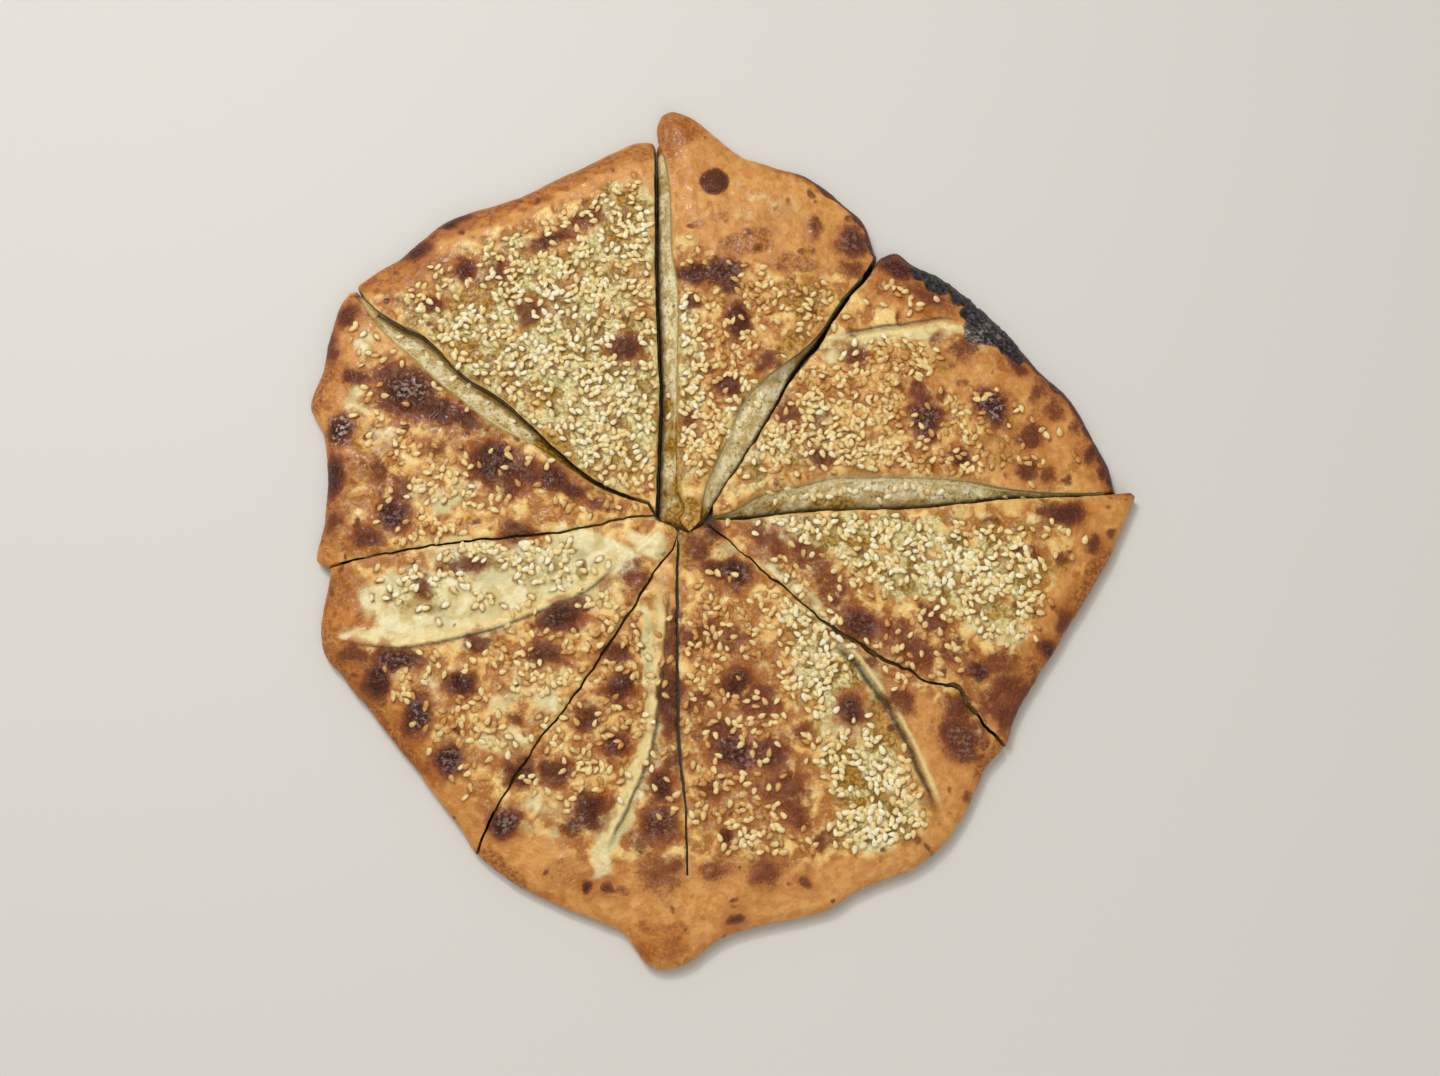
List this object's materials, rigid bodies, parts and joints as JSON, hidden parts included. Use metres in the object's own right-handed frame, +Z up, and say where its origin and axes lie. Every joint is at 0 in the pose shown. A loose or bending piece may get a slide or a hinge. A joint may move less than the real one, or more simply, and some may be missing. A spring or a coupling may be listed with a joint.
{
  "type": "potato pie",
  "caption": "Round flat filled bread with a rounded browned crust, sesame seeds on top and knife cuts from the middle that show a potato filling.",
  "frame": {"origin": "under the middle of the pie's box, on the plane of its flat underside", "axes": "+Z up through the pie's thickness, +Y along its longest side, from the blunt point of the south piece to the point of the north piece, +X to the right"},
  "size_m": [0.2751, 0.294, 0.0114],
  "materials": {
    "crust": "baked wheat dough, egg washed, golden brown with darker blisters, satin",
    "filling": "mashed potato with herbs, moist and matt"
  },
  "bodies": {
    "root": {"crust_north_west": "crust", "crust_north": "crust", "crust_north_east": "crust", "crust_east": "crust", "crust_south": "crust", "crust_south_west": "crust", "crust_west": "crust", "filling_north_west": "filling", "filling_north": "filling", "filling_north_east": "filling", "filling_east": "filling", "filling_south": "filling", "filling_south_west": "filling", "filling_west": "filling"}
  },
  "joints": []
}
